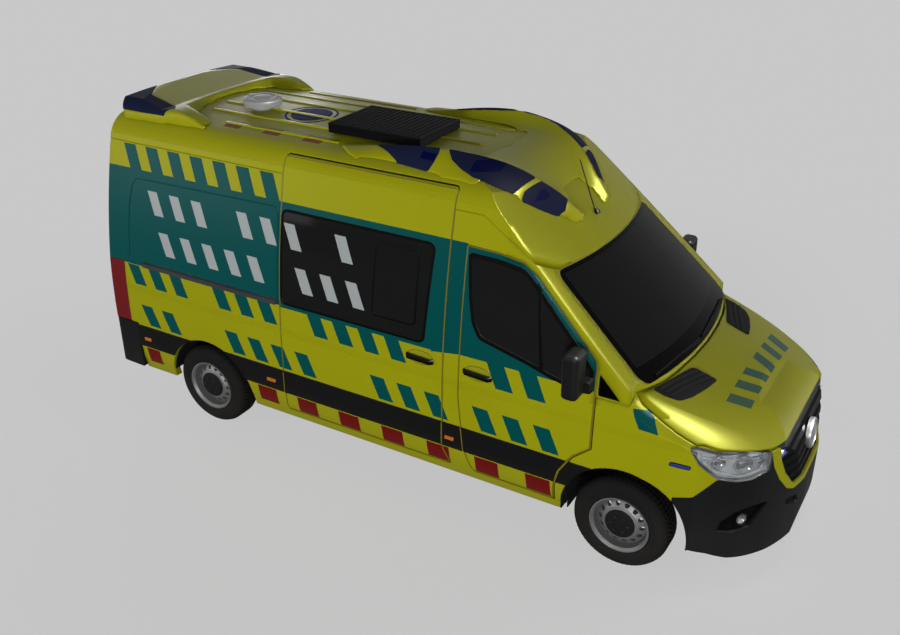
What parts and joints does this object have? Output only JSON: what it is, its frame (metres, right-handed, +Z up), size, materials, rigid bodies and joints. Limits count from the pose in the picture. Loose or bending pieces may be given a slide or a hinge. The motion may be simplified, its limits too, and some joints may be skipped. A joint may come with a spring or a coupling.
{
  "type": "high-roof van ambulance",
  "caption": "High-roof van ambulance with hinged cab and rear doors, opening bonnet, steered front wheels and rounded roof light fairings.",
  "frame": {"origin": "on the ground, midway between nose and rear bumper and between the sides", "axes": "+X to the nose, +Y to the vehicle's left, +Z up"},
  "size_m": [5.746, 2.344, 2.6466],
  "materials": {
    "body_yellow": "gloss paint, saturated yellow",
    "dark_glass": "dark tinted glass",
    "black_plastic": "grained black plastic",
    "clear_lamp": "clear lamp cover",
    "red_lamp": "red lamp cover",
    "blue_lens": "blue translucent lens",
    "badge_silver": "satin blank disc",
    "vent_grey": "pale grey plastic",
    "rail_grey": "dark grey rail",
    "chassis_black": "black chassis paint",
    "engine_iron": "cast metal",
    "seat_fabric": "dark woven cloth",
    "wheel_steel": "silver painted steel",
    "tyre_rubber": "black rubber",
    "floor_grey": "grey floor"
  },
  "bodies": {
    "body": {"antenna": "black_plastic", "badge_disc": "badge_silver", "blue_lenses": "blue_lens", "bulkhead": "floor_grey", "bumper_inserts": "black_plastic", "cab_seats": "seat_fabric", "chassis_frame": "chassis_black", "dashboard": "black_plastic", "door_rail": "rail_grey", "engine": "engine_iron", "fixed_glass": "dark_glass", "floor_pan": "floor_grey", "fog_lamps": "clear_lamp", "front_bumper": "black_plastic", "front_wings": "body_yellow", "fuel_tank": "black_plastic", "grille": "black_plastic", "grille_surround": "body_yellow", "headlamps": "clear_lamp", "light_fairings": "body_yellow", "propeller_shaft": "chassis_black", "rear_axle": "chassis_black", "rear_bumper": "black_plastic", "roof": "body_yellow", "roof_unit": "black_plastic", "roof_vent": "vent_grey", "side_wall_left": "body_yellow", "side_wall_right": "body_yellow", "sliding_door": "body_yellow", "tail_lamps": "red_lamp", "wheel_liners": "black_plastic"},
    "front_door_right_body": {"front_door_right": "body_yellow", "front_door_glass_right": "dark_glass", "door_mirror_right": "black_plastic"},
    "rear_door_right_body": {"rear_door_right": "body_yellow", "rear_door_glass_right": "dark_glass"},
    "steering_knuckle_right": {"knuckle_right": "chassis_black"},
    "front_wheel_right_body": {"wheel_front_right": "wheel_steel", "tyre_front_right": "tyre_rubber"},
    "rear_wheel_right_body": {"wheel_rear_right": "wheel_steel", "tyre_rear_right": "tyre_rubber"},
    "front_door_left_body": {"front_door_left": "body_yellow", "front_door_glass_left": "dark_glass", "door_mirror_left": "black_plastic"},
    "rear_door_left_body": {"rear_door_left": "body_yellow", "rear_door_glass_left": "dark_glass"},
    "steering_knuckle_left": {"knuckle_left": "chassis_black"},
    "front_wheel_left_body": {"wheel_front_left": "wheel_steel", "tyre_front_left": "tyre_rubber"},
    "rear_wheel_left_body": {"wheel_rear_left": "wheel_steel", "tyre_rear_left": "tyre_rubber"},
    "bonnet_lid": {"bonnet": "body_yellow"}
  },
  "joints": [
    {"name": "front_door_right_hinge", "type": "hinge", "parent": "body", "child": "front_door_right_body", "pos_m": [1.622, -1.006, 0.905], "axis": [0, 0.057, 0.9984], "range_deg": [0, 65]},
    {"name": "rear_door_right_hinge", "type": "hinge", "parent": "body", "child": "rear_door_right_body", "pos_m": [-2.797, -0.79, 1], "axis": [0, 0, 1], "range_deg": [0, 90]},
    {"name": "steer_right", "type": "hinge", "parent": "body", "child": "steering_knuckle_right", "pos_m": [1.855, -0.775, 0.348], "axis": [0, 0, 1], "range_deg": [-35, 35]},
    {"name": "front_wheel_right_spin", "type": "hinge", "parent": "steering_knuckle_right", "child": "front_wheel_right_body", "pos_m": [1.855, -0.857, 0.348], "axis": [0, 1, 0], "continuous": true},
    {"name": "rear_wheel_right_spin", "type": "hinge", "parent": "body", "child": "rear_wheel_right_body", "pos_m": [-1.81, -0.857, 0.348], "axis": [0, 1, 0], "continuous": true},
    {"name": "front_door_left_hinge", "type": "hinge", "parent": "body", "child": "front_door_left_body", "pos_m": [1.622, 1.006, 0.905], "axis": [0, 0.057, -0.9984], "range_deg": [0, 65]},
    {"name": "rear_door_left_hinge", "type": "hinge", "parent": "body", "child": "rear_door_left_body", "pos_m": [-2.797, 0.79, 1], "axis": [0, 0, -1], "range_deg": [0, 90]},
    {"name": "steer_left", "type": "hinge", "parent": "body", "child": "steering_knuckle_left", "pos_m": [1.855, 0.775, 0.348], "axis": [0, 0, 1], "range_deg": [-35, 35]},
    {"name": "front_wheel_left_spin", "type": "hinge", "parent": "steering_knuckle_left", "child": "front_wheel_left_body", "pos_m": [1.855, 0.857, 0.348], "axis": [0, 1, 0], "continuous": true},
    {"name": "rear_wheel_left_spin", "type": "hinge", "parent": "body", "child": "rear_wheel_left_body", "pos_m": [-1.81, 0.857, 0.348], "axis": [0, 1, 0], "continuous": true},
    {"name": "bonnet_hinge", "type": "hinge", "parent": "body", "child": "bonnet_lid", "pos_m": [1.85, 0, 1.385], "axis": [0, -1, 0], "range_deg": [0, 55]}
  ],
  "couplings": [
    {"joint": "steer_left", "follows": "steer_right", "ratio": 1}
  ]
}
